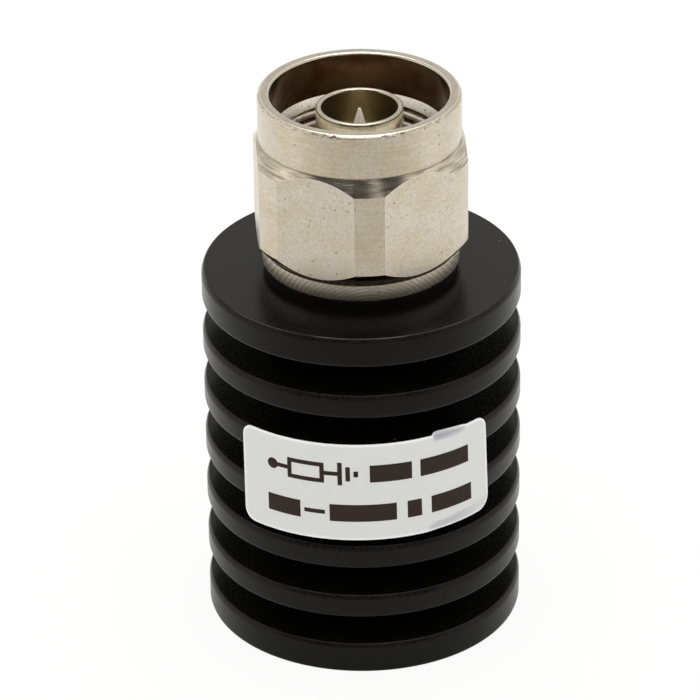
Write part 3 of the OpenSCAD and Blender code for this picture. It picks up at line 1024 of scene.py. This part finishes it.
def inner_pieces(nickel, pin):
    """Finishes of the pieces inside, which keep their solids."""
    finishes = {
        "retaining_ring": plain_metal("spring_steel", "#9a9b9d", "#7d7f82", rough=0.35),
        "dielectric_bead": soft_solid("white_fluoropolymer", "#f4f3ee", "#eae9e2", rough=0.35, grit=0.4),
        "retainer_bush": nickel,
        "rear_contact": pin,
        "resistor_rod": soft_solid("resistive_film_on_ceramic", "#453c37", "#332c28", rough=0.4, grit=0.25),
        "front_cap": plain_metal("tinned_brass", "#d4d0c8", "#bdb8ac", rough=0.3),
        "taper_sleeve": plain_metal("turned_brass", "#d8b36a", "#c39c52", rough=0.3),
    }
    finishes["rear_cap"] = finishes["front_cap"]
    for name, material in finishes.items():
        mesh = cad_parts[name].data
        mesh.materials.clear()
        mesh.materials.append(material)


def floor():
    """Pale floor that shows white to the camera and in the metal, and keeps the object's shadow."""
    to_camera, to_metal = 0.9, 0.4
    made, tree = bare_material("pale_floor")
    path = node(tree, "ShaderNodeLightPath")
    clear = node(
        tree,
        "ShaderNodeMath",
        {0: path.outputs["Is Camera Ray"], 1: path.outputs["Is Transmission Ray"]},
        operation="MAXIMUM",
    )
    direct = node(tree, "ShaderNodeMath", {0: clear, 1: to_camera}, operation="MULTIPLY")
    mirrored = node(
        tree, "ShaderNodeMath", {0: path.outputs["Is Glossy Ray"], 1: to_metal}, operation="MULTIPLY"
    )
    share = node(tree, "ShaderNodeMath", {0: direct, 1: mirrored}, operation="MAXIMUM")
    matt = node(tree, "ShaderNodeBsdfDiffuse", {"Color": colour("#f4f4f3")})
    white = node(tree, "ShaderNodeEmission", {"Color": colour("#ffffff"), "Strength": 1.0})
    mixed = node(tree, "ShaderNodeMixShader", {0: share, 1: matt, 2: white})
    node(tree, "ShaderNodeOutputMaterial", {"Surface": mixed})
    mesh = bpy.data.meshes.new("floor")
    bm = bmesh.new()
    bmesh.ops.create_circle(bm, cap_ends=True, segments=64, radius=3.0)
    bm.to_mesh(mesh)
    bm.free()
    mesh.materials.append(made)
    ground = bpy.data.objects.new("floor", mesh)
    bpy.context.scene.collection.objects.link(ground)


def card(name, glow, bow, first, last):
    """A card that only reflections see: a bow of (distance, height) points in metres, swept round the
    object between two angles, counted from the camera's side to the right. Its glow follows the angle."""
    made, tree = bare_material(name + "_cloth")
    level = node(tree, "ShaderNodeAttribute", attribute_name="glow").outputs["Fac"]
    cloth = node(tree, "ShaderNodeEmission", {"Color": colour("#fffcf6"), "Strength": level})
    node(tree, "ShaderNodeOutputMaterial", {"Surface": cloth})
    turn = radians(first)
    bm = bmesh.new()
    light = bm.verts.layers.float.new("glow")
    line = [bm.verts.new((r * sin(turn), -r * cos(turn), z)) for r, z in bow]
    edges = [bm.edges.new(pair) for pair in zip(line, line[1:])]
    bmesh.ops.spin(
        bm,
        geom=line + edges,
        cent=(0, 0, 0),
        axis=(0, 0, 1),
        angle=radians(last - first),
        steps=72,
    )
    for v in bm.verts:
        v[light] = glow(degrees(atan2(v.co.x, -v.co.y)))
    mesh = bpy.data.meshes.new(name)
    bm.to_mesh(mesh)
    bm.free()
    mesh.materials.append(made)
    made_card = bpy.data.objects.new(name, mesh)
    made_card.visible_camera = False
    made_card.visible_diffuse = False
    made_card.visible_shadow = False
    bpy.context.scene.collection.objects.link(made_card)


def cards():
    """A dark card round the camera, with a paler strip and paler ends, and a grey one on the floor
    in front. Angles are in degrees."""
    distance, near, far, lift, grey_end = 0.9, 0.055, 0.6, 0.0005, 70
    dome = [(distance * cos(radians(t)), distance * sin(radians(t))) for t in range(3, 49, 4)]
    ground = [(near, lift), (far, lift)]

    def hump(turn, middle, width):
        return exp(-(((turn - middle) / width) ** 2))

    def dark(turn):
        side = abs(turn + 4)
        end = clamp((side - 44) / 18)
        return 0.11 + 0.74 * end**2 + 0.42 * hump(turn, 18, 7) + 0.2 * hump(side, 82, 10)

    def grey(turn):
        return 0.74 + 0.26 * (turn / grey_end) ** 2

    card("dark_card", dark, dome, -108, 100)
    card("grey_card_front", grey, ground, -grey_end, grey_end)


def lamp():
    """Broad soft lamp overhead, longer towards the back."""
    width, length, glow = 0.6, 1.0, 2.0
    data = bpy.data.lights.new("overhead_softbox", "AREA")
    data.shape = "RECTANGLE"
    data.size = width
    data.size_y = length
    data.energy = glow * pi * width * length
    above = bpy.data.objects.new("overhead_softbox", data)
    above.location = (0.0, 0.15, 0.85)
    above.visible_camera = False
    bpy.context.scene.collection.objects.link(above)


def daylight():
    """Even white light from all round."""
    world = bpy.data.worlds.new("white_tent")
    world.use_nodes = True
    tree = world.node_tree
    tree.nodes.clear()
    white = node(tree, "ShaderNodeBackground", {"Color": colour("#fffefa"), "Strength": 0.85})
    node(tree, "ShaderNodeOutputWorld", {"Surface": white})
    bpy.context.scene.world = world


def camera():
    """Camera of the photograph, fitted to the object's outline."""
    height, elevation, roll = 28.0, 0.5026, -0.0107
    distance, focal = 448.478, 4742.83
    frame_px, aim_x, aim_y = 700, 361.894, 336.351
    data = bpy.data.cameras.new("camera")
    data.sensor_width = 36.0
    data.lens = focal / frame_px * data.sensor_width
    data.shift_x = (frame_px / 2 - aim_x) / frame_px
    data.shift_y = (aim_y - frame_px / 2) / frame_px
    view = bpy.data.objects.new("camera", data)
    back = Vector((0, -cos(elevation), sin(elevation)))
    turn = Matrix.Rotation(pi / 2 - elevation, 4, "X") @ Matrix.Rotation(roll, 4, "Z")
    view.matrix_world = Matrix.Translation((Vector((0, 0, height)) + back * distance) * MM) @ turn
    bpy.context.scene.collection.objects.link(view)
    bpy.context.scene.camera = view


def main():
    """Builds the pieces with their finishes, then the stage round them."""
    turned = nickel_plated_brass(
        "nickel_plated_turned_brass", "#cbc2b2", "#c8bca6", rough=0.24, turning=0.6, grit=0.6, pits=0.2
    )
    flats = nickel_plated_brass(
        "nickel_plated_drawn_brass", "#d6cfc3", "#d2c8b4", rough=0.34, turning=0.3, grit=0.8, pits=0.6
    )
    # Nickel painted darker as shade, for the bore and the foot's underside
    bore = nickel_plated_brass(
        "nickel_in_painted_shade", "#806b54", "#704832", rough=0.18, turning=0.3, grit=0.3, pits=0.05
    )
    # Nickel painted darker still as shade, for the bottom of the thread groove
    deeper_shaded_nickel = nickel_plated_brass(
        "nickel_in_deeper_painted_shade", "#4c3d30", "#482c22", rough=0.16, turning=0.3, grit=0.3, pits=0.05
    )
    # Nickel painted lighter as light inside the hole, for the thread
    thread = nickel_plated_brass(
        "nickel_plated_tapped_brass_painted_lighter", "#fcf7eb", "#f3ead8", rough=0.45, turning=1.0, grit=0.8, pits=0.3
    )
    smooth = nickel_plated_brass(
        "nickel_plated_smooth_brass", "#c6beae", "#c2b8a5", rough=0.13, turning=4.0, grit=0.1, pits=0.05
    )
    faced = nickel_plated_brass(
        "nickel_plated_faced_brass", "#c2baac", "#b9af9e", rough=0.16, turning=0.8, grit=0.4, pits=0.2
    )
    line = nickel_plated_brass(
        "nickel_plated_line_bore", "#b5a584", "#aa9871", rough=0.3, turning=0.6, grit=0.5, pits=0.1
    )
    contact = nickel_plated_brass(
        "nickel_plated_contact", "#dfd6c4", "#d2c5ad", rough=0.2, turning=1.0, grit=1.0, pits=0.2
    )
    heat_sink()
    connector_body()
    outer_contact([contact, line, faced])
    coupling_nut([turned, flats, bore, thread, smooth, faced, deeper_shaded_nickel])
    pin = center_pin()
    gasket()
    label()
    label_print()
    inner_pieces(turned, pin)
    floor()
    cards()
    lamp()
    daylight()
    camera()
    bpy.context.scene.view_settings.view_transform = "Standard"


main()
